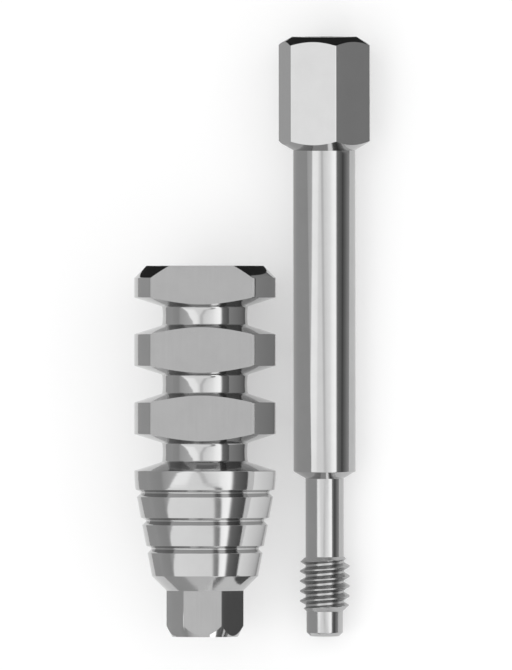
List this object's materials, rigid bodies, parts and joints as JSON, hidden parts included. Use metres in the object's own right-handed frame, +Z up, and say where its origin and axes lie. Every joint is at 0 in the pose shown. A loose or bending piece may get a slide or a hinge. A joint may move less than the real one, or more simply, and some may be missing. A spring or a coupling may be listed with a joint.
{
  "type": "dental impression coping with guide screw",
  "caption": "Open-tray implant impression coping: a flatted, disc-retained, bored body with a male hexagon, and its long hex-head guide screw.",
  "frame": {"origin": "centre of the footprint box on the table the two pieces lie on", "axes": "+Y from the implant ends towards the head and the top disc, +Z up from the table, +X from the coping towards its screw"},
  "size_m": [0.0094, 0.0242, 0.0057],
  "materials": {
    "coping_titanium": "turned and polished titanium alloy",
    "screw_titanium": "turned and polished titanium alloy"
  },
  "bodies": {
    "root": {"coping_body": "coping_titanium", "guide_screw": "screw_titanium"}
  },
  "joints": []
}
